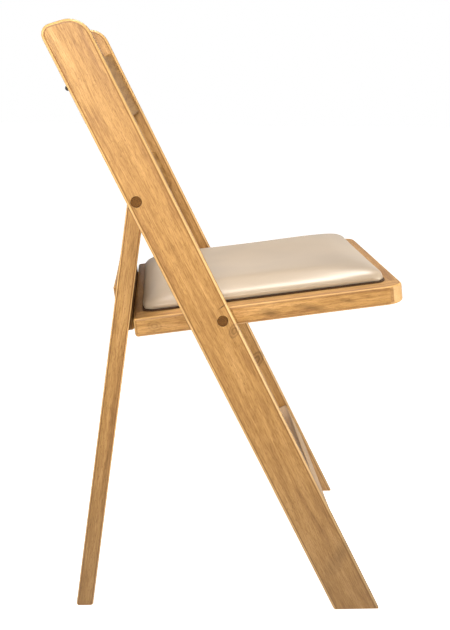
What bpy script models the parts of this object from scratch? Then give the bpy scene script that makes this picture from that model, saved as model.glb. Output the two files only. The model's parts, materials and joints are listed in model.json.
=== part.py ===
"""Wooden folding chair with a padded seat. Metres, +Z up, -Y is the front of the chair.

Three sub-assemblies are each modelled upright in their own frame, where -Y is forward:
the front frame (posts, slats, stretcher), the rear legs and the seat. An empty on the joint
axis then leans each frame to its open position.
"""
import math

import bmesh
import bpy
from mathutils import Matrix, Vector

# clearances
touch_gap = 0.0003          # between two pieces that touch
running_gap = 0.0003        # round a pivot screw, on the radius
side_gap = 0.0025           # between a post and what swings inside it

# front frame
overall_width = 0.445
post_lean = math.radians(26.73)
post_width = 0.0567
post_thickness = 0.020
post_length = 0.864
post_edge_radius = 0.0048
post_back_corner = 0.013
post_front_corner = 0.030
post_top_drop = 0.0025
foot_edge_radius = 0.0012
foot_band = 0.004           # edges this near the floor are barely rounded
slat_thickness = 0.015
slat_edge_radius = 0.004
slat_bow = 0.022
slat_cuts = 15
upper_slat_low = 0.710
upper_slat_high = 0.8125
upper_slat_front = 0.0525
lower_slat_low = 0.582
lower_slat_high = 0.643
lower_slat_front = 0.0460
stretcher_low = 0.0875
stretcher_high = 0.1535
stretcher_front = 0.0530
stretcher_thickness = 0.020
tenon_depth = 0.011
tenon_shoulder = 0.004
bumper_height = 0.7865
bumper_radius = 0.0033
bumper_stand = 0.0030
bumper_stem_radius = 0.00165
bumper_stem_length = 0.0048
bumper_socket_depth = 0.0060

# pivots, up the post from its back bottom corner and forward of its back face
leg_pivot_up = 0.6255
leg_pivot_forward = 0.0120
seat_pivot_up = 0.4389
seat_pivot_forward = 0.0420
screw_radius = 0.0032
screw_head_radius = 0.0056
screw_head_height = 0.0030
screw_reach = 0.0150
plug_radius = 0.0070
plug_thickness = 0.0022
plug_recess = 0.0006
plug_chamfer = 0.0004
washer_radius = 0.0095

# rear legs
leg_lean = math.radians(7.5)
leg_width = 0.0228
leg_thickness = 0.020
leg_edge_radius = 0.003
leg_foot_radius = 0.0035
rear_stretcher_drop = 0.430
rear_stretcher_height = 0.040
rear_stretcher_thickness = 0.015
groove_depth = 0.009
groove_travel = 0.165

# seat, along and above its pivot
seat_tilt = math.radians(7.42)
seat_front = 0.2445
rail_height = 0.026
rail_width = 0.034
front_rail_depth = 0.034
rear_rail_depth = 0.034
rail_edge_radius = 0.004
seat_corner_radius = 0.025
leg_clearance = 0.0035
board_thickness = 0.006
board_rebate = 0.008
pad_overlap = 0.011         # how far the pad lies on each side rail
pad_back_margin = 0.0095
pad_front_margin = 0.0155
pad_edge_height = 0.0145
pad_crown = 0.0075
pad_corner = 0.030
pad_profile = ((0.00, -0.0015), (0.30, 0.0), (0.85, -0.0010), (1.00, -0.0070))  # share of height, inset
pad_dome = ((0.80, 0.45), (0.55, 0.80), (0.28, 0.96))  # share of the plan, share of the crown
pad_screw_inset = 0.060
pad_screw_bite = 0.011
bar_height = 0.0625
bar_drop = 0.008            # of its lower edge below the pivot
bar_thickness = 0.020
bar_side_gap = 0.004
bar_bow = 0.001
bar_edge_radius = 0.0025
bar_cuts = 11
bar_screw_spread = 0.6      # share of the half width
bar_screw_bite = 0.016
pin_up = 0.0275
pin_radius = 0.0035
pin_grip = 0.024
pin_end_gap = 0.0004
pin_chamfer = 0.0006
spacer_thickness = 0.0019
spacer_overhang = 0.002
spacer_height = 0.017
block_leg = 0.030
block_height = 0.015
dowel_radius = 0.004
dowel_length = 0.036
dowel_spacing = 0.018
dowel_chamfer = 0.001
small_screw_radius = 0.0018
small_screw_head = 0.0038
small_screw_tip = 0.002
small_head_flat = 0.7       # share of the head's radius
small_head_rim = 0.0016
small_head_height = 0.0020

# worked out from the values above
half_width = overall_width / 2
inner_half = half_width - post_thickness
moving_half = inner_half - side_gap
leg_inner = moving_half - leg_thickness
meeting_angle = seat_tilt + leg_lean
half_rail = rail_height / 2
rail_inner = moving_half - rail_width
pad_side = rail_inner + pad_overlap
cutter_reach = 0.004
drill_clearance = 0.001
edge_tolerance = 0.0005
sharp_angle = math.radians(35)

wood = (0.78, 0.52, 0.27)
steel = (0.55, 0.54, 0.52)


def on_post(up, forward):
    """Distance forward and height above the floor of a point given along the post."""
    ahead = forward * math.cos(post_lean) - up * math.sin(post_lean)
    height = forward * math.sin(post_lean) + up * math.cos(post_lean)
    return Vector((ahead, height))


leg_pivot = on_post(leg_pivot_up, leg_pivot_forward)
seat_pivot = on_post(seat_pivot_up, seat_pivot_forward)
pivot_step = seat_pivot - leg_pivot
leg_ahead = Vector((math.cos(leg_lean), -math.sin(leg_lean)))
leg_down = Vector((-math.sin(leg_lean), -math.cos(leg_lean)))
seat_pivot_ahead_of_leg = pivot_step.dot(leg_ahead)
seat_pivot_down_leg = pivot_step.dot(leg_down)
corner_reach = leg_width / 2 + leg_clearance + half_rail * math.sin(meeting_angle)
seat_back = (seat_pivot_ahead_of_leg - corner_reach) / math.cos(meeting_angle)
pin_back = (seat_pivot_ahead_of_leg - pin_up * math.sin(meeting_angle)) / math.cos(meeting_angle)
pin_down_leg = (seat_pivot_down_leg + pin_back * math.sin(meeting_angle)
                - pin_up * math.cos(meeting_angle))
top_back_point = on_post(post_length - post_back_corner, post_back_corner)
rearmost = top_back_point.x - post_back_corner
foremost = (seat_pivot.x + (seat_front - rail_edge_radius) * math.cos(seat_tilt)
            + (half_rail - rail_edge_radius) * math.sin(seat_tilt) + rail_edge_radius)
middle = (rearmost + foremost) / 2


def new_collection(name):
    collection = bpy.data.collections.new(name)
    bpy.context.scene.collection.children.link(collection)
    return collection


def new_material(name, colour, roughness, metallic=0.0):
    material = bpy.data.materials.new(name)
    material.use_nodes = True
    shader = material.node_tree.nodes["Principled BSDF"]
    shader.inputs["Base Color"].default_value = (*colour, 1.0)
    shader.inputs["Roughness"].default_value = roughness
    shader.inputs["Metallic"].default_value = metallic
    return material


def new_frame(name, ahead, height, lean):
    """An empty on a joint axis; lean turns what hangs on it about X."""
    frame = bpy.data.objects.new(name, None)
    frame.location = (0.0, middle - ahead, height)
    frame.rotation_euler.x = lean
    parts.objects.link(frame)
    return frame


def add_object(name, mesh, frame, colour=wood, roughness=0.45, metallic=0.0):
    mesh.name = name
    piece = bpy.data.objects.new(name, mesh)
    piece.parent = frame
    piece.data.materials.append(new_material(name, colour, roughness, metallic))
    parts.objects.link(piece)
    return piece


def add_cutter(name, mesh, frame):
    cutter = bpy.data.objects.new(name, mesh)
    cutter.parent = frame
    cutter.hide_render = True
    cutter.display_type = "WIRE"
    cutters.objects.link(cutter)
    return cutter


def mesh_from(builder):
    """Run builder on a fresh bmesh and keep the result as a mesh."""
    shape = bmesh.new()
    builder(shape)
    bmesh.ops.recalc_face_normals(shape, faces=shape.faces)
    mesh = bpy.data.meshes.new("shape")
    shape.to_mesh(mesh)
    shape.free()
    return mesh


def box_between(low, high):
    """A box between two corners."""
    low, high = Vector(low), Vector(high)
    low, high = (Vector(map(min, low, high)), Vector(map(max, low, high)))

    def build(shape):
        bmesh.ops.create_cube(shape, size=1.0)
        bmesh.ops.scale(shape, vec=high - low, verts=shape.verts)
        bmesh.ops.translate(shape, vec=(low + high) / 2, verts=shape.verts)
    return mesh_from(build)


def rod_along(axis, start, length, radius, segments=24):
    """A cylinder from start, along axis."""
    axis = Vector(axis).normalized()
    turn = axis.to_track_quat("Z", "Y").to_matrix().to_4x4()

    def build(shape):
        bmesh.ops.create_cone(shape, cap_ends=True, segments=segments, radius1=radius,
                              radius2=radius, depth=length,
                              matrix=Matrix.Translation(Vector(start) + axis * length / 2) @ turn)
    return mesh_from(build)


def arc(centre, radius, start, end, steps):
    """Points on an arc, with the angles in degrees from the first axis."""
    angles = [math.radians(start + (end - start) * i / steps) for i in range(steps + 1)]
    return [(centre[0] + radius * math.cos(a), centre[1] + radius * math.sin(a)) for a in angles]


def flat_outline(points, thickness):
    """A flat outline in the XY plane with half its thickness on either side, as a mesh."""
    curve = bpy.data.curves.new("outline", "CURVE")
    curve.dimensions = "2D"
    curve.fill_mode = "BOTH"
    curve.extrude = thickness / 2
    spline = curve.splines.new("POLY")
    spline.points.add(len(points) - 1)
    for point, place in zip(spline.points, points):
        point.co = (place[0], place[1], 0.0, 1.0)
    spline.use_cyclic_u = True
    holder = bpy.data.objects.new("outline", curve)
    parts.objects.link(holder)
    graph = bpy.context.evaluated_depsgraph_get()
    mesh = bpy.data.meshes.new_from_object(holder.evaluated_get(graph))
    bpy.data.objects.remove(holder)

    def build(shape):
        shape.from_mesh(mesh)
        bmesh.ops.remove_doubles(shape, verts=shape.verts, dist=0.00001)
        bmesh.ops.dissolve_limit(shape, angle_limit=math.radians(0.5), verts=shape.verts,
                                 edges=shape.edges)
    return mesh_from(build)


def board(points, near, far):
    """An outline of (forward, up) points as a board between two places across the chair."""
    mesh = flat_outline(points, abs(far - near))
    side = Matrix(((0, 0, -1, (near + far) / 2), (-1, 0, 0, 0), (0, 1, 0, 0), (0, 0, 0, 1)))
    mesh.transform(side)
    return mesh


def round_edges(piece, width, segments=3, keep=None):
    """Round the sharp edges; keep(middle of edge) gives a share of the width."""
    mesh = piece.data
    mesh.attributes.new("bevel_weight_edge", "FLOAT", "EDGE")
    shape = bmesh.new()
    shape.from_mesh(mesh)
    layer = shape.edges.layers.float.get("bevel_weight_edge")
    for edge in shape.edges:
        sharp = edge.is_manifold and edge.calc_face_angle() > sharp_angle
        centre = (edge.verts[0].co + edge.verts[1].co) / 2
        edge[layer] = (keep(centre) if keep else 1.0) if sharp else 0.0
    shape.to_mesh(mesh)
    shape.free()
    bevel = piece.modifiers.new("rounded edges", "BEVEL")
    bevel.width = width
    bevel.segments = segments
    bevel.limit_method = "WEIGHT"


def boolean(piece, other, operation="DIFFERENCE"):
    cut = piece.modifiers.new(operation.lower(), "BOOLEAN")
    cut.operation = operation
    cut.object = other
    cut.solver = "EXACT"


def turned(name, profile, frame, start, axis, colour, roughness, metallic=0.0, steps=24):
    """A turned piece: (radius, height) points down its outer side, axis along its height."""
    mesh = bpy.data.meshes.new(name)
    edges = [(i, i + 1) for i in range(len(profile) - 1)]
    if profile[0][0] > 0:
        edges.append((len(profile) - 1, 0))
    mesh.from_pydata([(radius, 0.0, height) for radius, height in profile], edges, [])
    piece = add_object(name, mesh, frame, colour, roughness, metallic)
    piece.location = start
    piece.rotation_euler = Vector(axis).to_track_quat("Z", "Y").to_euler()
    screw = piece.modifiers.new("turned", "SCREW")
    screw.steps = steps
    screw.render_steps = steps
    screw.use_merge_vertices = True
    screw.merge_threshold = 0.00001
    return piece


def post_outline():
    """The post from the side, cut level at the floor and rounded at the top."""
    floor_drop = post_width * math.tan(post_lean)
    back = arc((post_back_corner, post_length - post_back_corner), post_back_corner, 180, 78, 5)
    front_centre = (post_width - post_front_corner, post_length - post_top_drop - post_front_corner)
    front = arc(front_centre, post_front_corner, 84, 0, 8)
    return [(0.0, 0.0)] + back + front + [(post_width, -floor_drop)]


def slat_places():
    """Name, low edge, high edge, front face, thickness and bow of what joins the posts."""
    return (
        ("upper_slat", upper_slat_low, upper_slat_high, upper_slat_front, slat_thickness, slat_bow),
        ("lower_slat", lower_slat_low, lower_slat_high, lower_slat_front, slat_thickness, slat_bow),
        ("front_stretcher", stretcher_low, stretcher_high, stretcher_front, stretcher_thickness, 0.0),
    )


def tenon_box(low, high, front, thickness, side, inner, extra=0.0):
    """The tenon on one end of a cross piece, or its mortise where extra is a gap."""
    root = inner - cutter_reach
    tip = inner + tenon_depth + extra
    shoulder = tenon_shoulder - extra
    back = front - thickness
    return box_between((side * root, -(front - shoulder), low + shoulder),
                       (side * tip, -(back + shoulder), high - shoulder))


def counterbore_depth():
    return plug_recess + plug_thickness + screw_head_height + 2 * touch_gap


def make_post(name, side):
    post = add_object(name, board(post_outline(), side * inner_half, side * half_width), front_frame)

    def edge_share(centre):
        at_foot = centre.z * math.cos(post_lean) - centre.y * math.sin(post_lean) < foot_band
        return foot_edge_radius / post_edge_radius if at_foot else 1.0
    round_edges(post, post_edge_radius, 4, edge_share)
    pockets = [tenon_box(low, high, front, thickness, side, inner_half, touch_gap)
               for _, low, high, front, thickness, _ in slat_places()]
    for up, forward in ((leg_pivot_up, leg_pivot_forward), (seat_pivot_up, seat_pivot_forward)):
        inside = (side * (inner_half - cutter_reach), -forward, up)
        pockets.append(rod_along((side, 0, 0), inside, post_thickness, screw_radius + running_gap))
        bore_start = (side * (half_width - counterbore_depth()), -forward, up)
        pockets.append(rod_along((side, 0, 0), bore_start, counterbore_depth() + cutter_reach,
                                 plug_radius + touch_gap, 32))
    stem = (side * (half_width - post_thickness / 2), cutter_reach, bumper_height)
    pockets.append(rod_along((0, -1, 0), stem, cutter_reach + bumper_socket_depth,
                             bumper_stem_radius + touch_gap, 16))
    for number, pocket in enumerate(pockets):
        boolean(post, add_cutter(f"{name}_pocket_{number}", pocket, front_frame))


def make_cross_piece(name, low, high, front, thickness, bow, frame, inner):
    """A slat or stretcher between the posts or legs, bowed back in the middle, with two tenons."""
    half = inner - touch_gap
    cuts = slat_cuts if bow else 0

    def build(shape):
        bmesh.ops.create_cube(shape, size=1.0)
        bmesh.ops.scale(shape, vec=(2 * half, thickness, high - low), verts=shape.verts)
        bmesh.ops.translate(shape, vec=(0, thickness / 2 - front, (low + high) / 2), verts=shape.verts)
        across = [e for e in shape.edges if abs(e.verts[0].co.x - e.verts[1].co.x) > half]
        if cuts:
            bmesh.ops.subdivide_edges(shape, edges=across, cuts=cuts)
        for vert in shape.verts:
            vert.co.y += bow * (1 - (vert.co.x / half) ** 2)
    piece = add_object(name, mesh_from(build), frame)
    round_edges(piece, min(slat_edge_radius, 0.3 * thickness), 3,
                lambda centre: 0.0 if abs(abs(centre.x) - half) < touch_gap else 1.0)
    for side in (-1, 1):
        tenon = tenon_box(low, high, front, thickness, side, inner)
        boolean(piece, add_cutter(f"{name}_tenon_{side}", tenon, frame), "UNION")


def make_pivot_set(name, side, up, forward):
    """A pivot screw in its counterbore and the plug over it."""
    head_face = half_width - plug_recess - plug_thickness - touch_gap
    shank_end = screw_head_height + post_thickness - counterbore_depth() + side_gap + screw_reach
    profile = [(0.0, 0.0), (screw_head_radius, 0.0), (screw_head_radius, -screw_head_height),
               (screw_radius, -screw_head_height), (screw_radius, -shank_end), (0.0, -shank_end)]
    turned(name + "_screw", profile, front_frame, (side * head_face, -forward, up), (side, 0, 0),
           steel, 0.35, 1.0)
    profile = [(0.0, 0.0), (plug_radius - plug_chamfer, 0.0), (plug_radius, -plug_chamfer),
               (plug_radius, -plug_thickness), (0.0, -plug_thickness)]
    turned(name + "_plug", profile, front_frame, (side * (half_width - plug_recess), -forward, up),
           (side, 0, 0), (0.28, 0.15, 0.06), 0.5, 0.0, 32)


def make_bumper(name, side):
    """A domed rubber button on the back edge of a post, with a stem in the wood."""
    cap = arc((0.0, touch_gap), bumper_radius, 90, 0, 5)
    dome = [(radius, touch_gap + (height - touch_gap) * bumper_stand / bumper_radius)
            for radius, height in cap]
    profile = dome + [(bumper_stem_radius, touch_gap), (bumper_stem_radius, -bumper_stem_length),
                      (0.0, -bumper_stem_length)]
    profile[0] = (0.0, profile[0][1])
    turned(name, profile, front_frame, (side * (half_width - post_thickness / 2), 0.0, bumper_height),
           (0, 1, 0), (0.05, 0.045, 0.04), 0.7, 0.0, 20)


def leg_outline():
    """The rear leg from the side, round over its pivot and cut level at the floor."""
    half = leg_width / 2
    top = arc((0.0, 0.0), half, 180, 0, 10)
    radius = leg_foot_radius

    def floor_at(forward):
        return (forward * math.sin(leg_lean) - leg_pivot.y) / math.cos(leg_lean)
    front = arc((half - radius, floor_at(half - radius) + radius), radius, 0, -90, 4)
    back = arc((radius - half, floor_at(radius - half) + radius), radius, -90, -180, 4)
    return top + front + back


def rear_stretcher_place():
    low = -(rear_stretcher_drop + rear_stretcher_height)
    front = rear_stretcher_thickness / 2
    return low, low + rear_stretcher_height, front, rear_stretcher_thickness


def make_rear_leg(name, side):
    leg = add_object(name, board(leg_outline(), side * leg_inner, side * moving_half), rear_frame)
    round_edges(leg, leg_edge_radius, 3)
    hole_start = (side * (leg_inner - cutter_reach), 0, 0)
    hole = rod_along((side, 0, 0), hole_start, leg_thickness + 2 * cutter_reach,
                     screw_radius + running_gap)
    boolean(leg, add_cutter(name + "_hole", hole, rear_frame))
    reach = pin_radius + 2 * running_gap
    ends = arc((0.0, -pin_down_leg), reach, 180, 0, 8)
    ends += arc((0.0, -pin_down_leg - groove_travel), reach, 0, -180, 8)
    groove = board(ends, side * (leg_inner - cutter_reach), side * (leg_inner + groove_depth))
    boolean(leg, add_cutter(name + "_groove", groove, rear_frame))
    mortise = tenon_box(*rear_stretcher_place(), side, leg_inner, touch_gap)
    boolean(leg, add_cutter(name + "_mortise", mortise, rear_frame))


def make_washer(name, side):
    """A nylon washer between the rear leg and the post."""
    thickness = side_gap - 2 * touch_gap
    inner = screw_radius + running_gap
    profile = [(washer_radius, thickness), (washer_radius, 0.0), (inner, 0.0), (inner, thickness)]
    turned(name, profile, rear_frame, (side * (moving_half + touch_gap), 0, 0), (side, 0, 0),
           (0.75, 0.73, 0.68), 0.5)


def board_pocket(gap):
    """The seat board, or with a gap the pocket for it in the rails."""
    side = rail_inner + board_rebate
    back = -(seat_back - rear_rail_depth + board_rebate)
    front = seat_front - front_rail_depth + board_rebate
    low = half_rail - board_thickness - 2 * touch_gap
    high = half_rail + cutter_reach if gap else half_rail - touch_gap
    return box_between((-side - gap, -front - gap, low), (side + gap, -back + gap, high))


def dowel_places():
    """Side, distance forward and name of each dowel in the seat frame's joints."""
    for side, hand in ((-1, "left"), (1, "right")):
        for place, end in ((seat_front - front_rail_depth / 2, "front"),
                           (rear_rail_depth / 2 - seat_back, "rear")):
            for number, step in enumerate((-0.5, 0.5)):
                yield side, place + step * dowel_spacing, f"{hand}_{end}_dowel_{number + 1}"


def dowel_height():
    return -touch_gap - board_thickness / 2


def cut_dowels(piece, name, wanted):
    for side, forward, label in dowel_places():
        if wanted(side, forward):
            start = (side * (rail_inner - dowel_length / 2 - touch_gap), -forward, dowel_height())
            hole = rod_along((side, 0, 0), start, dowel_length + 2 * touch_gap,
                             dowel_radius + touch_gap, 16)
            boolean(piece, add_cutter(f"{name}_{label}", hole, seat_frame))


def make_side_rail(name, side):
    """A side rail with the seat's rounded front corner."""
    def build(shape):
        bmesh.ops.create_cube(shape, size=1.0)
        bmesh.ops.scale(shape, vec=(rail_width, seat_front + seat_back, rail_height), verts=shape.verts)
        place = (side * (moving_half - rail_width / 2), (seat_back - seat_front) / 2, 0)
        bmesh.ops.translate(shape, vec=place, verts=shape.verts)
        corner = [e for e in shape.edges if abs(e.verts[0].co.z - e.verts[1].co.z) > half_rail
                  and side * e.verts[0].co.x > moving_half - edge_tolerance and e.verts[0].co.y < 0]
        bmesh.ops.bevel(shape, geom=corner, offset=seat_corner_radius, offset_type="OFFSET",
                        segments=8, profile=0.5, affect="EDGES", material=-1, clamp_overlap=False)
    rail = add_object(name, mesh_from(build), seat_frame)

    def edge_share(centre):
        inside = abs(abs(centre.x) - rail_inner) < edge_tolerance
        at_front = centre.y < -(seat_front - edge_tolerance)
        corner_seam = at_front and abs(centre.x) < rail_inner + edge_tolerance
        return 0.0 if inside or corner_seam else 1.0
    round_edges(rail, rail_edge_radius, 3, edge_share)
    boolean(rail, add_cutter(name + "_board", board_pocket(touch_gap), seat_frame))
    start = (side * (moving_half + cutter_reach), 0, 0)
    depth = screw_reach + cutter_reach + drill_clearance
    hole = rod_along((-side, 0, 0), start, depth, screw_radius + running_gap)
    boolean(rail, add_cutter(name + "_hole", hole, seat_frame))
    cut_dowels(rail, name, lambda dowel_side, forward: dowel_side == side)


def make_cross_rail(name, back, front, outer):
    """The front or rear rail, between the side rails; outer is the face that shows."""
    half = rail_inner - touch_gap
    rail = add_object(name, box_between((-half, -back, -half_rail), (half, -front, half_rail)),
                      seat_frame)

    def edge_share(centre):
        along_face = abs(-centre.y - outer) < edge_tolerance and abs(centre.x) < half / 2
        return 1.0 if along_face else 0.0
    round_edges(rail, rail_edge_radius, 3, edge_share)
    boolean(rail, add_cutter(name + "_board", board_pocket(touch_gap), seat_frame))
    cut_dowels(rail, name, lambda side, forward: back < forward < front)
    return rail


def make_seat_board():
    board_piece = add_object("seat_board", board_pocket(0.0), seat_frame, (0.70, 0.55, 0.36), 0.6)
    for number, place in enumerate(pad_screw_places()):
        hole = rod_along((0, 0, 1), (*place, -half_rail), rail_height + cutter_reach,
                         small_screw_radius + touch_gap, 12)
        boolean(board_piece, add_cutter(f"seat_board_hole_{number}", hole, seat_frame))


def pad_ends():
    """How far forward the pad starts and ends."""
    return pad_back_margin - seat_back, seat_front - pad_front_margin


def pad_screw_places():
    back, front = pad_ends()
    across = pad_side - pad_screw_inset
    return [(x, -y) for x in (-across, across) for y in (back + pad_screw_inset, front - pad_screw_inset)]


def make_pad():
    """The cushion: an oblong with rounded corners, steep sides and a low crown."""
    back, front = pad_ends()
    half_length = (front - back) / 2
    centre = -(front + back) / 2
    base = half_rail + touch_gap

    def outline(inset):
        side = pad_side + inset
        length = half_length + inset
        radius = pad_corner + inset
        corners = ((side - radius, length - radius, 0), (radius - side, length - radius, 90),
                   (radius - side, radius - length, 180), (side - radius, radius - length, 270))
        return [p for x, y, turn in corners for p in arc((x, y), radius, turn, turn + 90, 5)]

    def build(shape):
        loops = []
        for share, inset in pad_profile:
            height = base + share * pad_edge_height
            loops.append([shape.verts.new((x, centre + y, height)) for x, y in outline(inset)])
        for scale, lift in pad_dome:
            height = base + pad_edge_height + lift * pad_crown
            loops.append([shape.verts.new((x * scale, centre + y * scale, height))
                          for x, y in outline(0.0)])
        count = len(loops[0])
        for low, high in zip(loops, loops[1:]):
            for i in range(count):
                j = (i + 1) % count
                shape.faces.new((low[i], low[j], high[j], high[i]))
        top = shape.verts.new((0, centre, base + pad_edge_height + pad_crown))
        for i in range(count):
            shape.faces.new((loops[-1][i], loops[-1][(i + 1) % count], top))
        shape.faces.new(loops[0])
    pad = add_object("seat_pad", mesh_from(build), seat_frame, (0.74, 0.62, 0.50), 0.4)
    for number, place in enumerate(pad_screw_places()):
        hole = rod_along((0, 0, 1), (*place, half_rail - cutter_reach),
                         pad_screw_bite + drill_clearance + cutter_reach, small_screw_radius + touch_gap, 12)
        boolean(pad, add_cutter(f"pad_hole_{number}", hole, seat_frame))


def make_pad_screws():
    """Pan-head screws up through the seat board into the pad."""
    under = half_rail - board_thickness - 3 * touch_gap
    head = small_screw_head
    length = half_rail + pad_screw_bite - under
    profile = [(0.0, length), (small_screw_radius, length - small_screw_tip), (small_screw_radius, 0.0),
               (head, 0.0), (small_head_flat * head, -small_head_rim), (0.0, -small_head_height)]
    for number, place in enumerate(pad_screw_places()):
        turned(f"pad_screw_{number + 1}", profile, seat_frame, (*place, under), (0, 0, 1),
               steel, 0.35, 1.0, 16)


def make_corner_blocks():
    """Three-cornered glue blocks inside the seat frame, under the board."""
    high = half_rail - board_thickness - 4 * touch_gap
    inner = rail_inner - touch_gap
    ends = (touch_gap + rear_rail_depth - seat_back, seat_front - front_rail_depth - touch_gap)
    for side, hand in ((-1, "left"), (1, "right")):
        for forward, inward, end in ((ends[0], 1, "rear"), (ends[1], -1, "front")):
            corner = (side * inner, -forward)
            points = [corner, (side * (inner - block_leg), -forward),
                      (side * inner, -forward - inward * block_leg)]
            mesh = flat_outline(points, block_height)
            mesh.transform(Matrix.Translation((0, 0, high - block_height / 2)))
            add_object(f"{hand}_{end}_corner_block", mesh, seat_frame)


def make_dowels():
    half = dowel_length / 2
    tip = dowel_radius - dowel_chamfer
    profile = [(0.0, half), (tip, half), (dowel_radius, half - dowel_chamfer),
               (dowel_radius, dowel_chamfer - half), (tip, -half), (0.0, -half)]
    for side, forward, label in dowel_places():
        turned(label, profile, seat_frame, (side * rail_inner, -forward, dowel_height()), (side, 0, 0),
               (0.80, 0.62, 0.40), 0.6, 0.0, 16)


def bar_screw_places():
    return [x * bar_screw_spread * leg_inner for x in (-1, 0, 1)]


def bar_front():
    """How far forward the middle of the bar's front face is."""
    return -seat_back - touch_gap


def make_slide_bar():
    """The bar behind the seat that carries the slide pins; its ends sit a little further back."""
    half = leg_inner - bar_side_gap
    front = bar_front()

    def build(shape):
        bmesh.ops.create_cube(shape, size=1.0)
        bmesh.ops.scale(shape, vec=(2 * half, bar_thickness, bar_height), verts=shape.verts)
        place = (0, bar_thickness / 2 - front, bar_height / 2 - bar_drop)
        bmesh.ops.translate(shape, vec=place, verts=shape.verts)
        across = [e for e in shape.edges if abs(e.verts[0].co.x - e.verts[1].co.x) > half]
        bmesh.ops.subdivide_edges(shape, edges=across, cuts=bar_cuts)
        for vert in shape.verts:
            vert.co.y += bar_bow * (vert.co.x / half) ** 2
    bar = add_object("slide_bar", mesh_from(build), seat_frame)
    round_edges(bar, bar_edge_radius, 2)
    for side in (-1, 1):
        start = (side * (half - pin_grip - touch_gap), pin_back, pin_up)
        hole = rod_along((side, 0, 0), start, pin_grip + cutter_reach, pin_radius + touch_gap, 20)
        boolean(bar, add_cutter(f"slide_bar_hole_{side}", hole, seat_frame))


def cut_bar_screws(piece, name):
    for number, x in enumerate(bar_screw_places()):
        start = (x, bar_hole_front(), bar_screw_height())
        hole = rod_along((0, 1, 0), start, 2 * bar_thickness + bar_screw_bite,
                         small_screw_radius + touch_gap, 12)
        boolean(piece, add_cutter(f"{name}_screw_hole_{number}", hole, seat_frame))


def bar_screw_height():
    return half_rail / 2 + touch_gap


def bar_hole_front():
    return -bar_front() - bar_screw_bite - 2 * drill_clearance


def make_bar_screws():
    """Pan-head screws through the slide bar into the rear rail."""
    length = bar_thickness + bar_screw_bite
    head = small_screw_head
    profile = [(0.0, small_head_height), (small_head_flat * head, small_head_rim), (head, 0.0),
               (small_screw_radius, 0.0), (small_screw_radius, small_screw_tip - length), (0.0, -length)]
    for number, x in enumerate(bar_screw_places()):
        half = leg_inner - bar_side_gap
        face = -bar_front() + bar_thickness + bar_bow * (x / half) ** 2 + touch_gap
        turned(f"bar_screw_{number + 1}", profile, seat_frame, (x, face, bar_screw_height()), (0, 1, 0),
               steel, 0.35, 1.0, 16)


def make_slide_pin(name, side):
    """A steel pin in the end of the slide bar; it stops just short of the rear leg's groove."""
    start = leg_inner - bar_side_gap - pin_grip
    length = leg_inner - pin_end_gap - start
    profile = [(0.0, length), (pin_radius - pin_chamfer, length), (pin_radius, length - pin_chamfer),
               (pin_radius, 0.0), (0.0, 0.0)]
    turned(name, profile, seat_frame, (side * start, pin_back, pin_up), (side, 0, 0), steel, 0.3, 1.0, 20)


def make_spacer(name, side):
    """A thin plate on the rail at the pivot; its ends slant with the post's edges."""
    slant = math.pi / 2 - (post_lean - seat_tilt)
    run = spacer_height / 2 / math.tan(slant)
    ahead = (post_width - seat_pivot_forward) / math.sin(slant) + spacer_overhang
    behind = seat_pivot_forward / math.sin(slant) + spacer_overhang
    low, high = -spacer_height / 2, spacer_height / 2
    points = [(ahead - run, high), (-behind - run, high), (run - behind, low), (ahead + run, low)]
    near = side * (moving_half + touch_gap)
    plate = add_object(name, board(points, near, near + side * spacer_thickness), seat_frame)
    start = (near - side * cutter_reach, 0, 0)
    hole = rod_along((side, 0, 0), start, 3 * cutter_reach, screw_radius + running_gap)
    boolean(plate, add_cutter(name + "_hole", hole, seat_frame))


for old in list(bpy.data.objects):
    bpy.data.objects.remove(old)
parts = new_collection("folding_chair")
cutters = new_collection("cutters")

front_frame = new_frame("front_frame", 0.0, 0.0, -post_lean)
rear_frame = new_frame("rear_leg_pivot", leg_pivot.x, leg_pivot.y, leg_lean)
seat_frame = new_frame("seat_pivot", seat_pivot.x, seat_pivot.y, -seat_tilt)
bpy.context.view_layer.update()

for piece_name, low_edge, high_edge, face, depth, bend in slat_places():
    make_cross_piece(piece_name, low_edge, high_edge, face, depth, bend, front_frame, inner_half)
make_cross_piece("rear_stretcher", *rear_stretcher_place(), 0.0, rear_frame, leg_inner)
for hand_side, hand_name in ((-1, "left"), (1, "right")):
    make_post(f"{hand_name}_post", hand_side)
    make_pivot_set(f"{hand_name}_leg_pivot", hand_side, leg_pivot_up, leg_pivot_forward)
    make_pivot_set(f"{hand_name}_seat_pivot", hand_side, seat_pivot_up, seat_pivot_forward)
    make_bumper(f"{hand_name}_bumper", hand_side)
    make_rear_leg(f"{hand_name}_rear_leg", hand_side)
    make_washer(f"{hand_name}_leg_washer", hand_side)
    make_side_rail(f"{hand_name}_side_rail", hand_side)
    make_slide_pin(f"{hand_name}_slide_pin", hand_side)
    make_spacer(f"{hand_name}_spacer", hand_side)
make_cross_rail("front_rail", seat_front - front_rail_depth, seat_front, seat_front)
rear_rail = make_cross_rail("rear_rail", -seat_back, rear_rail_depth - seat_back, -seat_back)
make_slide_bar()
for cut_piece in (rear_rail, bpy.data.objects["slide_bar"]):
    cut_bar_screws(cut_piece, cut_piece.name)
make_bar_screws()
make_seat_board()
make_pad()
make_pad_screws()
make_corner_blocks()
make_dowels()
for shaped in parts.objects:
    if shaped.type == "MESH":
        shaped.data.shade_smooth()
        shaped.data.set_sharp_from_angle(angle=sharp_angle)
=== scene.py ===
import json
import math

import bmesh
import bpy
from mathutils import Euler, Matrix, Vector


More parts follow.
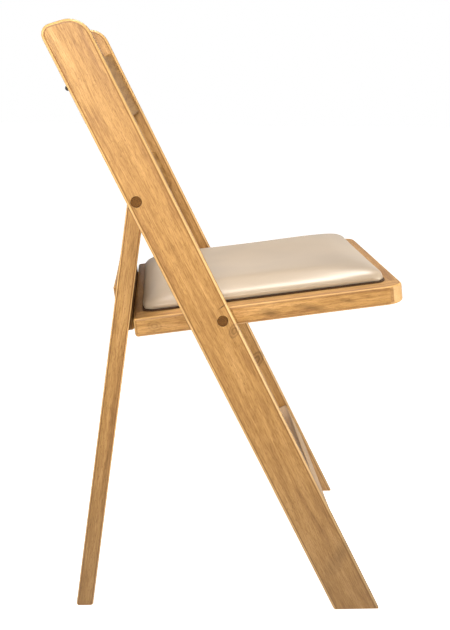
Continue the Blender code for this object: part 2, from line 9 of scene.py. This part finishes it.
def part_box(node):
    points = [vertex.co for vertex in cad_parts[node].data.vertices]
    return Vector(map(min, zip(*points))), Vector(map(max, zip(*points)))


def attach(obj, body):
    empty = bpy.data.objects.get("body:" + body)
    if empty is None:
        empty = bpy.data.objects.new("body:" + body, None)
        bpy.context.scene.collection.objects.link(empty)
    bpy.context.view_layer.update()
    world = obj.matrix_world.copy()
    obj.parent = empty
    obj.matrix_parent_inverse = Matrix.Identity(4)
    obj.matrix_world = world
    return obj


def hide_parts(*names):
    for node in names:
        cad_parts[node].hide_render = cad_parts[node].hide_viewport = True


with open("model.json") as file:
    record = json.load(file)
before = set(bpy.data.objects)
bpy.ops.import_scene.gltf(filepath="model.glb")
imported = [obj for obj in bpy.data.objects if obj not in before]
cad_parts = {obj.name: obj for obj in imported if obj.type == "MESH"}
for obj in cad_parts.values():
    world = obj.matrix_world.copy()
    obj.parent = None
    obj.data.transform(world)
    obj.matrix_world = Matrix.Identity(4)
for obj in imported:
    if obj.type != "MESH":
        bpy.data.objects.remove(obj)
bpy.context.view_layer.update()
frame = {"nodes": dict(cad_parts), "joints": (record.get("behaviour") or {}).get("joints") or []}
nodes = frame["nodes"]
hinges = {joint["name"]: Vector(joint["pos_m"]) for joint in frame["joints"]}
mm = 0.001


camera = {
    "place": (-1.5681, 0.0929, 0.7316),
    "turn": (76.95, -0.80, -93.47),  # degrees
    "lens": 61.4,
}
studio = {
    "floor": "e8e7e5",
    "floorHalf": 12.0,
    "floorRoughness": 0.8,
    "floorGlow": (0.34, 0.95),  # this side of the chair, and beyond it
    "floorFade": (-1.10, -0.10),  # X where the glow starts to rise, and where it is full
    "horizon": "cbc7c1",
    "overhead": "8f8c88",
    "overheadFade": (0.10, 0.45),  # height of the view direction where one shade turns into the other
    "ambient": 0.7,
    "backdropGlow": 1.0,  # the lit white backdrop, on the +X side
    "backdropTop": (0.35, 0.12),  # height of the view direction: none of it, all of it
    "backdropSide": (0.1, 0.8),  # X of the view direction: none of it, all of it
    # name: place, aimed at, size, spread in degrees, watts, colour
    "lamps": {
        "sideSoftbox": ((-2.0, 0.45, 1.35), (0.0, 0.15, 0.78), 0.8, 45, 5.2, "fff5e4"),
        "rearStrip": ((-0.7, 2.2, 1.3), (0.0, 0.1, 0.6), 0.7, 60, 2.2, "fff2dc"),
        "frontStrip": ((-1.0, -2.3, 0.75), (-0.15, -0.25, 0.42), 0.35, 20, 0.9, "fff6e4"),
        "overhead": ((0.45, -0.2, 2.3), (-0.05, -0.05, 0.45), 0.6, 40, 3.0, "fff8f0"),
    },
}


def linear(hexColour):
    shares = [int(hexColour[i:i + 2], 16) / 255 for i in (0, 2, 4)]
    return tuple(s / 12.92 if s <= 0.04045 else ((s + 0.055) / 1.055) ** 2.4 for s in shares)


def rgba(hexColour):
    return (*linear(hexColour), 1.0)


def addNode(tree, kind, inputs=None, stops=(), **settings):
    node = tree.nodes.new(kind)
    for name, value in settings.items():
        setattr(node, name, value)
    for number, (position, colour) in enumerate(stops):  # a ramp's colours, from left to right
        elements = node.color_ramp.elements
        element = elements[number] if number < 2 else elements.new(1.0)
        element.position = position
        element.color = colour if len(colour) == 4 else (*colour, 1.0)
    for name, value in (inputs or {}).items():
        socket = node.inputs[name]
        if isinstance(value, bpy.types.NodeSocket):
            tree.links.new(value, socket)
        else:
            socket.default_value = value
    return node


def newMaterial(name):
    material = bpy.data.materials.new(name)
    material.use_nodes = True
    tree = material.node_tree
    return material, tree, tree.nodes["Principled BSDF"]


def aimedAt(place, target):
    return (Vector(target) - Vector(place)).to_track_quat("-Z", "Y").to_euler()


def placeCamera():
    lens = bpy.data.cameras.new("camera")
    lens.lens = camera["lens"]
    lens.clip_end = 50.0
    holder = bpy.data.objects.new("camera", lens)
    holder.location = camera["place"]
    holder.rotation_euler = [math.radians(angle) for angle in camera["turn"]]
    bpy.context.scene.collection.objects.link(holder)
    bpy.context.scene.camera = holder


def lightStudio():
    bpy.context.scene.view_settings.view_transform = "Standard"
    world = bpy.data.worlds.new("studio")
    world.use_nodes = True
    tree = world.node_tree
    place = addNode(tree, "ShaderNodeTexCoord").outputs["Generated"]
    apart = addNode(tree, "ShaderNodeSeparateXYZ", {"Vector": place})
    fade, top, side = studio["overheadFade"], studio["backdropTop"], studio["backdropSide"]
    height = addNode(tree, "ShaderNodeMapRange", {
        "Value": apart.outputs["Z"], "From Min": fade[0], "From Max": fade[1]},
        interpolation_type="SMOOTHSTEP")
    shade = addNode(tree, "ShaderNodeMix", {
        "Factor": height.outputs["Result"], 6: rgba(studio["horizon"]), 7: rgba(studio["overhead"])},
        data_type="RGBA")
    low = addNode(tree, "ShaderNodeMapRange", {
        "Value": apart.outputs["Z"], "From Min": top[0], "From Max": top[1]},
        interpolation_type="SMOOTHSTEP")
    beyond = addNode(tree, "ShaderNodeMapRange", {
        "Value": apart.outputs["X"], "From Min": side[0], "From Max": side[1]},
        interpolation_type="SMOOTHSTEP")
    lit = addNode(tree, "ShaderNodeMath", {
        0: low.outputs["Result"], 1: beyond.outputs["Result"]}, operation="MULTIPLY")
    ambient = addNode(tree, "ShaderNodeMapRange", {
        "Value": lit.outputs["Value"], "To Min": studio["ambient"], "To Max": studio["backdropGlow"]})
    colour = addNode(tree, "ShaderNodeMix", {
        "Factor": lit.outputs["Value"], 6: shade.outputs[2], 7: (1.0, 1.0, 1.0, 1.0)}, data_type="RGBA")
    background = tree.nodes["Background"]
    tree.links.new(colour.outputs[2], background.inputs["Color"])
    tree.links.new(ambient.outputs["Result"], background.inputs["Strength"])
    bpy.context.scene.world = world
    for name, (place, target, size, spread, watts, colour) in studio["lamps"].items():
        lamp = bpy.data.lights.new(name, "AREA")
        lamp.shape = "SQUARE"
        lamp.size = size
        lamp.spread = math.radians(spread)
        lamp.energy = watts
        lamp.color = linear(colour)
        holder = bpy.data.objects.new(name, lamp)
        holder.location = place
        holder.rotation_euler = aimedAt(place, target)
        bpy.context.scene.collection.objects.link(holder)


def layFloor():
    shape = bmesh.new()
    bmesh.ops.create_grid(shape, x_segments=1, y_segments=1, size=studio["floorHalf"])
    mesh = bpy.data.meshes.new("floor")
    shape.to_mesh(mesh)
    shape.free()
    floor = bpy.data.objects.new("floor", mesh)
    bpy.context.scene.collection.objects.link(floor)
    # painted studio floor: matt, and lit so that it runs into the backdrop without an edge
    material, tree, shader = newMaterial("paleFloor")
    shader.inputs["Base Color"].default_value = rgba(studio["floor"])
    shader.inputs["Roughness"].default_value = studio["floorRoughness"]
    place = addNode(tree, "ShaderNodeTexCoord").outputs["Object"]
    across = addNode(tree, "ShaderNodeSeparateXYZ", {"Vector": place}).outputs["X"]
    fade, glow = studio["floorFade"], studio["floorGlow"]
    share = addNode(tree, "ShaderNodeMapRange", {
        "Value": across, "From Min": fade[0], "From Max": fade[1], "To Min": glow[0], "To Max": glow[1]},
        interpolation_type="SMOOTHSTEP")
    shader.inputs["Emission Color"].default_value = (1.0, 1.0, 1.0, 1.0)
    tree.links.new(share.outputs["Result"], shader.inputs["Emission Strength"])
    mesh.materials.append(material)


placeCamera()
lightStudio()
layFloor()
print("stage: camera, lights and floor")


# Steamed beech, planed, wiped with a honey stain and varnished satin: a warm even brown broken by
# short dark fibre dashes, with a painted highlight making the rounded edges paler, a thin dark line where
# they start
honeyBeech = {
    "light": "bf9760",
    "mid": "b08850",
    "dark": "987040",
    "pore": "5e3c1a",
    "endGrain": "80592c",
    # painted highlight: the pale colour of the rounded edges
    "edgeHighlight": "d2ac72",
    "edgeLine": "80582a",
    "mark": "4a2c10",
    # painted shade: the darker colour towards the feet
    "footShade": "7d5f3c",
    # width across the grain, length along it, detail, distortion
    "figure": (11 * mm, 120 * mm, 2.0, 0.6),
    "fibre": (0.9 * mm, 15 * mm, 4.0, 0.3),  # finer in the real board: as coarse as it needs to show
    "pores": (0.8 * mm, 5 * mm, 1.0, 0.0),
    "mottle": (18 * mm, 26 * mm, 3.0, 0.0),
    "shadeStops": (0.30, 0.50, 0.70),  # of the figure: dark, mid and light
    "clouds": ((0.35, (0.86, 0.82, 0.76)), (0.60, (1.0, 1.0, 1.0))),
    "cloudShare": 0.5,
    "dashes": ((0.34, (0.62, 0.54, 0.44)), (0.60, (1.06, 1.05, 1.03))),
    "dashShare": 0.85,
    "poreRange": (0.40, 0.30),
    "poreShare": 0.5,
    "endGrainShare": 0.6,
    # by the largest part of the normal: 1 on a flat face, less on a rounded edge
    "edgeHighlightStops": ((0.88, (1, 1, 1)), (0.93, (0, 0, 0))),
    "edgeLineStops": ((0.93, (0, 0, 0)), (0.955, (1, 1, 1)), (0.985, (1, 1, 1)),
                      (0.995, (0, 0, 0))),
    "ragged": 0.25,  # how far the fibres pull a mark's outline about
    # painted reflection: the grey sheen on the stretcher's upward faces
    "paintedSheen": "b3a598",
    "paintedSheenRange": (0.5, 0.95),
    "paintedSheenShare": 0.75,
    "footShadeHeight": 0.26,
    "footShadeShare": 0.38,
    "roughness": 0.48,
    "roughSpread": (0.08, -0.05),  # in the dark fibres and between them
    "relief": (0.25, 0.3 * mm),
    "coat": 0.06,
    "coatRoughness": 0.3,
    "ior": 1.5,
}
leans = {"post": 26.73, "leg": -7.5, "seat": 7.42}  # degrees, about X
# turns Object coordinates so that the grain runs along the pattern's Z
grainTurns = {
    "post": (math.radians(leans["post"]), 0.0, 0.0),
    "leg": (math.radians(leans["leg"]), 0.0, 0.0),
    "cross": (0.0, math.radians(-90), 0.0),
    "rail": (math.radians(90 + leans["seat"]), 0.0, 0.0),
}
# node: grain, shade (a factor on its colours: partly the piece's own tone, partly painted shade where it
# sits in shade, as on the slats, and painted light on the brighter far post), how much its painted edge
# highlight and edge line show, gloss (the cross pieces are rubbed dull)
woodPieces = {
    "left_post": ("post", 1.04, 0.8, 0.4),
    "right_post": ("post", 1.10, 0.8, 0.4),
    "upper_slat": ("cross", 0.70, 0.0, 0.12),
    "lower_slat": ("cross", 0.70, 0.0, 0.12),
    "front_stretcher": ("cross", 0.85, 0.5, 0.10),
    "left_rear_leg": ("leg", 0.91, 1.0, 0.4),
    "right_rear_leg": ("leg", 0.91, 1.0, 0.4),
    "rear_stretcher": ("cross", 0.90, 0.5, 0.3),
    "left_side_rail": ("rail", 1.07, 0.5, 0.4),
    "right_side_rail": ("rail", 1.07, 0.5, 0.4),
    "front_rail": ("cross", 1.00, 0.7, 0.4),
    "rear_rail": ("cross", 0.95, 0.7, 0.4),
    "slide_bar": ("cross", 0.85, 0.6, 0.3),
    "left_spacer": ("rail", 0.80, 0.0, 0.3),
    "right_spacer": ("rail", 0.80, 0.0, 0.3),
    "seat_board": ("rail", 0.80, 0.0, 0.2),
}
# node: marks, each its place behind and above the seat pivot, lean in degrees, length, width, strength
# and kind
woodMarks = {
    "left_post": [
        ((-0.015, -0.013), 20, 26 * mm, 17 * mm, 0.75, "knot"),
        ((0.001, 0.019), 52, 17 * mm, 2.6 * mm, 1.0, "stain"),
        ((0.024, 0.262), 27, 70 * mm, 3.0 * mm, 0.6, "stain"),
        ((0.006, 0.130), 27, 50 * mm, 2.6 * mm, 0.5, "stain"),
        ((-0.165, -0.330), 27, 110 * mm, 32 * mm, 0.35, "stain"),
    ],
    "right_post": [((-0.085, -0.170), 27, 44 * mm, 26 * mm, 0.8, "knot")],
    "left_side_rail": [
        ((-0.064, 0.006), -83, 42 * mm, 16 * mm, 0.55, "stain"),
        ((-0.118, 0.013), -83, 70 * mm, 13 * mm, 0.55, "stain"),
        ((-0.166, 0.022), -83, 34 * mm, 9 * mm, 0.40, "stain"),
        ((0.088, -0.012), -83, 24 * mm, 18 * mm, 0.45, "knot"),
        ((0.043, -0.008), -20, 20 * mm, 2.2 * mm, 1.0, "stain"),
    ],
    "right_side_rail": [((-0.090, 0.010), -83, 50 * mm, 14 * mm, 0.5, "stain")],
}
markStops = {
    "stain": ((0.25, (1, 1, 1)), (1.0, (0, 0, 0))),
    "knot": ((0.0, (1, 1, 1)), (0.25, (0.2, 0.2, 0.2)), (0.45, (0.8, 0.8, 0.8)), (0.62, (0.15, 0.15, 0.15)),
             (0.82, (0.6, 0.6, 0.6)), (1.0, (0, 0, 0))),
}


def finishBeech(name, grain, shade, edges, gloss, offset, marks):
    wood = honeyBeech
    material, tree, shader = newMaterial("honeyBeech_" + name)
    coords = addNode(tree, "ShaderNodeTexCoord")
    turned = addNode(tree, "ShaderNodeMapping", {
        "Vector": coords.outputs["Object"], "Rotation": grainTurns[grain]})
    moved = addNode(tree, "ShaderNodeVectorMath", {0: turned.outputs["Vector"], 1: offset}, operation="ADD")
    grains = {}
    for pattern in ("figure", "fibre", "pores", "mottle"):
        width, length, detail, distortion = wood[pattern]
        scaled = addNode(tree, "ShaderNodeVectorMath", {
            0: moved.outputs["Vector"], 1: (1 / width, 1 / width, 1 / length)}, operation="MULTIPLY")
        grains[pattern] = addNode(tree, "ShaderNodeTexNoise", {
            "Vector": scaled.outputs["Vector"], "Scale": 1.0, "Detail": detail, "Roughness": 0.55,
            "Distortion": distortion}).outputs["Fac"]
    # painted light and shade: the piece's shade factor scales all three figure colours, so the same wood
    # comes out darker on pieces that sit in shade and lighter on the far post
    shades = [tuple(shade * part for part in linear(wood[key])) for key in ("dark", "mid", "light")]
    base = addNode(tree, "ShaderNodeValToRGB", {"Fac": grains["figure"]},
                   stops=list(zip(wood["shadeStops"], shades)))
    clouds = addNode(tree, "ShaderNodeValToRGB", {"Fac": grains["mottle"]}, stops=wood["clouds"])
    clouded = addNode(tree, "ShaderNodeMix", {
        0: wood["cloudShare"], 6: base.outputs["Color"], 7: clouds.outputs["Color"]},
        data_type="RGBA", blend_type="MULTIPLY")
    dashes = addNode(tree, "ShaderNodeValToRGB", {"Fac": grains["fibre"]}, stops=wood["dashes"])
    streaked = addNode(tree, "ShaderNodeMix", {
        0: wood["dashShare"], 6: clouded.outputs[2], 7: dashes.outputs["Color"]},
        data_type="RGBA", blend_type="MULTIPLY")
    dots = addNode(tree, "ShaderNodeMapRange", {
        "Value": grains["pores"], "From Min": wood["poreRange"][0], "From Max": wood["poreRange"][1],
        "To Max": wood["poreShare"]})
    flecked = addNode(tree, "ShaderNodeMix", {
        0: dots.outputs["Result"], 6: streaked.outputs[2], 7: rgba(wood["pore"])}, data_type="RGBA")

    # end grain drinks more stain
    alongGrain = Vector((0, 0, 1))
    alongGrain.rotate(Euler(grainTurns[grain]).to_matrix().inverted())
    facing = addNode(tree, "ShaderNodeVectorMath", {0: coords.outputs["Normal"], 1: alongGrain},
                     operation="DOT_PRODUCT")
    square = addNode(tree, "ShaderNodeMath", {0: facing.outputs["Value"], 1: 2.0}, operation="POWER")
    soak = addNode(tree, "ShaderNodeMath", {0: square.outputs[0], 1: wood["endGrainShare"]},
                   operation="MULTIPLY")
    colour = addNode(tree, "ShaderNodeMix", {
        0: soak.outputs[0], 6: flecked.outputs[2], 7: rgba(wood["endGrain"])}, data_type="RGBA")

    # rounded edges: a painted highlight makes them pale, with a thin dark line where they start
    squared = addNode(tree, "ShaderNodeMapping", {
        "Vector": coords.outputs["Normal"], "Rotation": grainTurns[grain]}, vector_type="VECTOR")
    sizes = addNode(tree, "ShaderNodeVectorMath", {0: squared.outputs["Vector"]}, operation="ABSOLUTE")
    apart = addNode(tree, "ShaderNodeSeparateXYZ", {"Vector": sizes.outputs["Vector"]})
    larger = addNode(tree, "ShaderNodeMath", {0: apart.outputs["X"], 1: apart.outputs["Y"]},
                     operation="MAXIMUM")
    largest = addNode(tree, "ShaderNodeMath", {0: larger.outputs[0], 1: apart.outputs["Z"]},
                      operation="MAXIMUM")
    for key in ("edgeHighlight", "edgeLine"):
        ramp = addNode(tree, "ShaderNodeValToRGB", {"Fac": largest.outputs[0]}, stops=wood[key + "Stops"])
        share = addNode(tree, "ShaderNodeMapRange", {"Value": ramp.outputs["Color"], "To Max": edges})
        colour = addNode(tree, "ShaderNodeMix", {
            0: share.outputs["Result"], 6: colour.outputs[2], 7: rgba(wood[key])}, data_type="RGBA")

    for (behind, above), lean, length, width, strength, kind in marks:
        centre = hinges["seat_fold"] + Vector((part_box(name)[0].x, behind, above))
        nearby = addNode(tree, "ShaderNodeMapping", {
            "Vector": coords.outputs["Object"], "Location": centre, "Rotation": (math.radians(lean), 0, 0),
            "Scale": (1.0, width / 2, length / 2)}, vector_type="TEXTURE")
        distance = addNode(tree, "ShaderNodeVectorMath", {0: nearby.outputs["Vector"]}, operation="LENGTH")
        ragged = addNode(tree, "ShaderNodeMath", {
            0: grains["fibre"], 1: wood["ragged"], 2: distance.outputs["Value"]}, operation="MULTIPLY_ADD")
        ramp = addNode(tree, "ShaderNodeValToRGB", {"Fac": ragged.outputs[0]}, stops=markStops[kind])
        share = addNode(tree, "ShaderNodeMapRange", {"Value": ramp.outputs["Color"], "To Max": strength})
        colour = addNode(tree, "ShaderNodeMix", {
            0: share.outputs["Result"], 6: colour.outputs[2], 7: rgba(wood["mark"])}, data_type="RGBA")

    if name == "front_stretcher":  # painted reflection: its upward faces are painted grey in patches, for the sheen of the bright surroundings seen at a grazing angle
        upward = Vector((0, 0, 1))
        upward.rotate(Euler((-math.radians(leans["post"]), 0, 0)))
        upwardFacing = addNode(tree, "ShaderNodeVectorMath", {0: coords.outputs["Normal"], 1: upward},
                        operation="DOT_PRODUCT")
        sheenOnTop = addNode(tree, "ShaderNodeMapRange", {
            "Value": upwardFacing.outputs["Value"], "From Min": wood["paintedSheenRange"][0],
            "From Max": wood["paintedSheenRange"][1], "To Max": wood["paintedSheenShare"]})
        patchy = addNode(tree, "ShaderNodeMath", {0: sheenOnTop.outputs["Result"], 1: dashes.outputs["Color"]},
                         operation="MULTIPLY")
        colour = addNode(tree, "ShaderNodeMix", {
            0: patchy.outputs[0], 6: colour.outputs[2], 7: rgba(wood["paintedSheen"])}, data_type="RGBA")

    if grain in ("post", "leg"):  # painted shade: posts and legs are painted darker towards the feet, where the light falls off
        height = addNode(tree, "ShaderNodeSeparateXYZ", {"Vector": coords.outputs["Object"]})
        footShadeMask = addNode(tree, "ShaderNodeMapRange", {
            "Value": height.outputs["Z"], "From Min": wood["footShadeHeight"], "From Max": 0.0,
            "To Max": wood["footShadeShare"]})
        colour = addNode(tree, "ShaderNodeMix", {
            0: footShadeMask.outputs["Result"], 6: colour.outputs[2], 7: rgba(wood["footShade"])}, data_type="RGBA")

    rough = addNode(tree, "ShaderNodeMapRange", {
        "Value": grains["fibre"], "From Min": 0.3, "From Max": 0.7,
        "To Min": wood["roughness"] + wood["roughSpread"][0],
        "To Max": wood["roughness"] + wood["roughSpread"][1]})
    relief = addNode(tree, "ShaderNodeBump", {
        "Height": grains["fibre"], "Strength": wood["relief"][0], "Distance": wood["relief"][1]})
    tree.links.new(colour.outputs[2], shader.inputs["Base Color"])
    tree.links.new(rough.outputs["Result"], shader.inputs["Roughness"])
    tree.links.new(relief.outputs["Normal"], shader.inputs["Normal"])
    shader.inputs["Specular IOR Level"].default_value = gloss
    shader.inputs["Coat Weight"].default_value = wood["coat"]
    shader.inputs["Coat Roughness"].default_value = wood["coatRoughness"]
    shader.inputs["IOR"].default_value = wood["ior"]
    return material


def dressWood():
    for number, (name, (grain, shade, edges, gloss)) in enumerate(woodPieces.items()):
        offset = (0.37 * number, 0.71 * number, 0.53 * number)  # no two boards show the same grain
        dress(name, finishBeech(name, grain, shade, edges, gloss, offset, woodMarks.get(name, ())))


def dress(name, material):
    for slot in nodes[name].material_slots:
        slot.material = material


dressWood()
print("stage: wood")


# dark stained end-grain plugs: brown rings that read as a dull dot on the honey wood
stainedPlug = {
    "heart": "7a501c",
    "ring": "2c1806",
    "ringWidth": 1.4 * mm,
    "wander": 5.0,  # how far the rings stray from round
    "offCentre": (0, 2 * mm, -3 * mm),
    "roughness": 0.75,
    "gloss": 0.25,  # rubbed dull
}
# zinc-plated steel: pale grey metal with a soft, slightly cloudy shine
zincSteel = {"colour": "c9c6bd", "dark": "aeaaa0", "grain": 3 * mm, "roughness": 0.32, "metallic": 1.0,
             "relief": 0.05}
# moulded rubber: near black, with no shine
blackRubber = {"colour": "2b2a26", "dark": "1d1c19", "grain": 0.5 * mm, "roughness": 0.75, "metallic": 0.0,
               "relief": 0.1}
# moulded nylon: milky white with a dull sheen
nylon = {"colour": "dcd8cc", "dark": "cfcabd", "grain": 1.5 * mm, "roughness": 0.5, "metallic": 0.0,
         "relief": 0.1}
# sawn beech with no finish: pale, dry and a little rough
bareBeech = {"colour": "c9a879", "dark": "b18f62", "grain": 2 * mm, "roughness": 0.7, "metallic": 0.0,
             "relief": 0.3}
# painted shadow: a board coloured flat dark brown to stand in for the shadow line under the pad
shadowLineBoard = {"colour": "4a3119", "dark": "35220f", "grain": 2 * mm, "roughness": 0.8, "metallic": 0.0,
             "relief": 0.1}


def finishSpeckled(name, finish):
    # two close shades in a fine noise, with the same noise as a slight relief
    material, tree, shader = newMaterial(name)
    place = addNode(tree, "ShaderNodeTexCoord").outputs["Object"]
    speck = addNode(tree, "ShaderNodeTexNoise", {
        "Vector": place, "Scale": 1 / finish["grain"], "Detail": 3.0})
    shades = addNode(tree, "ShaderNodeValToRGB", {"Fac": speck.outputs["Fac"]}, stops=[
        (0.35, rgba(finish["dark"])), (0.65, rgba(finish["colour"]))])
    bump = addNode(tree, "ShaderNodeBump", {
        "Height": speck.outputs["Fac"], "Strength": finish["relief"], "Distance": 0.2 * mm})
    tree.links.new(shades.outputs["Color"], shader.inputs["Base Color"])
    tree.links.new(bump.outputs["Normal"], shader.inputs["Normal"])
    shader.inputs["Roughness"].default_value = finish["roughness"]
    shader.inputs["Metallic"].default_value = finish["metallic"]
    return material


def finishPlug(name, centre):
    # rings round a centre that sits a little off the plug's middle
    material, tree, shader = newMaterial(name)
    place = addNode(tree, "ShaderNodeTexCoord").outputs["Object"]
    centred = addNode(tree, "ShaderNodeMapping", {"Vector": place, "Location": -centre})
    rings = addNode(tree, "ShaderNodeTexWave", {
        "Vector": centred.outputs["Vector"], "Scale": 0.3 / stainedPlug["ringWidth"],
        "Distortion": stainedPlug["wander"], "Detail": 3.0, "Detail Scale": 2.0},
        wave_type="RINGS", rings_direction="X")
    shades = addNode(tree, "ShaderNodeValToRGB", {"Fac": rings.outputs["Fac"]}, stops=[
        (0.1, rgba(stainedPlug["ring"])), (0.8, rgba(stainedPlug["heart"]))])
    shader.inputs["Specular IOR Level"].default_value = stainedPlug["gloss"]
    tree.links.new(shades.outputs["Color"], shader.inputs["Base Color"])
    shader.inputs["Roughness"].default_value = stainedPlug["roughness"]
    return material


def middleOf(name):
    low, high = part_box(name)
    return (low + high) / 2


def dressHardware():
    steel = finishSpeckled("zincPlatedSteel", zincSteel)
    rubber = finishSpeckled("mouldedRubber", blackRubber)
    washer = finishSpeckled("mouldedNylon", nylon)
    bare = finishSpeckled("sawnBeech", bareBeech)
    for name in nodes:
        if "screw" in name or "slide_pin" in name:
            dress(name, steel)
        elif "bumper" in name:
            dress(name, rubber)
        elif "washer" in name:
            dress(name, washer)
        elif "dowel" in name or "corner_block" in name:
            dress(name, bare)
        elif "plug" in name:
            centre = middleOf(name) + Vector(stainedPlug["offCentre"])
            dress(name, finishPlug("stainedPlug_" + name, centre))


dressHardware()
print("stage: hardware")


pad = {
    "back": -0.1065,  # along the seat, forward of its pivot
    "front": 0.2295,
    "halfWidth": 0.1770,
    "rest": 0.0134,  # top of the rails above the pivot, square to the seat
    "base": 0.0149,
    "thickness": 0.0138,
    "backing": 0.0035,  # how far the board under the pad stands in from its edge
    "dish": (0.120, 0.125, 0.0035),  # the hollow that sitting has left: half width, half length, depth
    "corner": 0.020,
    "topRound": 0.011,
    "underRound": 0.004,
    "segments": (8, 4, 3),  # round the corner, the top and the underside
    "shrink": 0.001,  # it swells back out
    "voxel": 0.005,
    "pressure": 2.2,
    "bending": 10.0,  # thick vinyl on foam keeps smooth corners
    "frames": 20,
    "quality": 6,
    "cap": 0.009,  # the furthest that a vertex may move
    "seated": 1 * mm,  # vertices this near the base stay on the board
    "easeRounds": 12,
}
# calendered vinyl: smooth beige with a soft shine, slightly uneven in tone and faintly pebbled
vinyl = {
    "colour": "a49787",
    "valley": "998d80",
    "cloudScale": 9.0,
    "grain": 1.4 * mm,  # pebble size, finer in the real cloth
    "relief": (0.12, 0.1 * mm),
    "roughness": 0.40,
}
padMiddle = -(pad["front"] + pad["back"]) / 2
seatTurn = Matrix.Translation(hinges["seat_fold"]) @ Matrix.Rotation(-math.radians(leans["seat"]), 4, "X")


def shownMesh(holder):
    graph = bpy.context.evaluated_depsgraph_get()
    return bpy.data.meshes.new_from_object(holder.evaluated_get(graph))


def roundOff(shape, edges, radius, segments):
    bmesh.ops.bevel(shape, geom=edges, offset=radius, segments=segments, profile=0.5,
                    affect="EDGES", material=-1)


def roundedSlab(inset, bottom, height, corner):
    # a slab as large as the pad less an inset all round, with its upright corners rounded
    shape = bmesh.new()
    bmesh.ops.create_cube(shape, size=1.0)
    width, length = 2 * (pad["halfWidth"] - inset), pad["front"] - pad["back"] - 2 * inset
    bmesh.ops.scale(shape, vec=(width, length, height), verts=shape.verts)
    bmesh.ops.translate(shape, vec=(0, padMiddle, bottom + height / 2), verts=shape.verts)
    upright = [e for e in shape.edges if abs(e.verts[0].co.z - e.verts[1].co.z) > height / 2]
    roundOff(shape, upright, corner, pad["segments"][0])
    return shape


def padBlank():
    shape = roundedSlab(pad["shrink"], pad["base"], pad["thickness"], pad["corner"])
    top, near = pad["base"] + pad["thickness"], 0.1 * mm
    upper = [e for e in shape.edges if min(v.co.z for v in e.verts) > top - near]
    roundOff(shape, upper, pad["topRound"], pad["segments"][1])
    under = [e for e in shape.edges if max(v.co.z for v in e.verts) < pad["base"] + near]
    roundOff(shape, under, pad["underRound"], pad["segments"][2])
    mesh = bpy.data.meshes.new("pad")
    shape.to_mesh(mesh)
    shape.free()
    return mesh


def swell(holder):
    remesh = holder.modifiers.new("remesh", "REMESH")
    remesh.mode = "VOXEL"
    remesh.voxel_size = pad["voxel"]
    holder.data = shownMesh(holder)
    holder.modifiers.clear()
    rest = [v.co.copy() for v in holder.data.vertices]
    held = holder.vertex_groups.new(name="held")
    held.add([i for i, co in enumerate(rest) if co.z < pad["base"] + pad["seated"]], 1.0, "REPLACE")
    cloth = holder.modifiers.new("cloth", "CLOTH")
    cloth.settings.use_pressure = True
    cloth.settings.uniform_pressure_force = pad["pressure"]
    cloth.settings.effector_weights.gravity = 0.0
    cloth.settings.vertex_group_mass = "held"
    cloth.settings.bending_stiffness = pad["bending"]
    cloth.settings.quality = pad["quality"]
    scene = bpy.context.scene
    for step in range(1, pad["frames"] + 1):
        scene.frame_set(step)
    mesh = shownMesh(holder)
    scene.frame_set(1)
    for vertex, start in zip(mesh.vertices, rest):
        move = vertex.co - start
        if move.length > pad["cap"]:
            vertex.co = start + move * (pad["cap"] / move.length)
        vertex.co.z = max(vertex.co.z, pad["base"])
    shape = bmesh.new()
    shape.from_mesh(mesh)
    free = [v for v in shape.verts if v.co.z > pad["base"] + pad["seated"]]
    halfAcross, halfAlong, depth = pad["dish"]
    for vert in free:
        away = (vert.co.x / halfAcross) ** 2 + ((vert.co.y - padMiddle) / halfAlong) ** 2
        vert.co.z -= depth * max(0.0, 1 - away) ** 2
    for _ in range(pad["easeRounds"]):
        bmesh.ops.smooth_vert(shape, verts=free, factor=0.5,
                              use_axis_x=True, use_axis_y=True, use_axis_z=True)
    shape.to_mesh(mesh)
    shape.free()
    holder.modifiers.clear()
    holder.vertex_groups.clear()
    holder.data = mesh


def finishVinyl():
    material, tree, shader = newMaterial("beigeVinyl")
    place = addNode(tree, "ShaderNodeTexCoord").outputs["Object"]
    cloud = addNode(tree, "ShaderNodeTexNoise", {
        "Vector": place, "Scale": vinyl["cloudScale"], "Detail": 2.0})
    shades = addNode(tree, "ShaderNodeValToRGB", {"Fac": cloud.outputs["Fac"]}, stops=[
        (0.2, rgba(vinyl["valley"])), (0.55, rgba(vinyl["colour"]))])
    pebble = addNode(tree, "ShaderNodeTexVoronoi", {"Vector": place, "Scale": 1 / vinyl["grain"]})
    bump = addNode(tree, "ShaderNodeBump", {
        "Height": pebble.outputs["Distance"], "Strength": vinyl["relief"][0],
        "Distance": vinyl["relief"][1]})
    tree.links.new(shades.outputs["Color"], shader.inputs["Base Color"])
    tree.links.new(bump.outputs["Normal"], shader.inputs["Normal"])
    shader.inputs["Roughness"].default_value = vinyl["roughness"]
    return material


def makePad():
    holder = bpy.data.objects.new("vinyl_pad", padBlank())
    bpy.context.scene.collection.objects.link(holder)
    swell(holder)
    holder.data.transform(seatTurn)
    for face in holder.data.polygons:
        face.use_smooth = True
    holder.data.materials.clear()
    holder.data.materials.append(finishVinyl())
    smooth = holder.modifiers.new("smooth", "SUBSURF")
    smooth.levels = 1
    smooth.render_levels = 1
    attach(holder, "seat")
    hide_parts("seat_pad")


def makeBacking():
    # the board that the vinyl is stretched over, coloured as painted shadow: it shows only as the dark
    # shadow line under the pad
    inset = pad["backing"]
    shape = roundedSlab(inset, pad["rest"], pad["base"] - pad["rest"], pad["corner"] - inset)
    bmesh.ops.transform(shape, matrix=seatTurn, verts=shape.verts)
    mesh = bpy.data.meshes.new("pad_backing")
    shape.to_mesh(mesh)
    shape.free()
    holder = bpy.data.objects.new("pad_backing", mesh)
    bpy.context.scene.collection.objects.link(holder)
    mesh.materials.append(finishSpeckled("paintedShadowBoard", shadowLineBoard))
    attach(holder, "seat")


makePad()
makeBacking()
print("stage: pad")
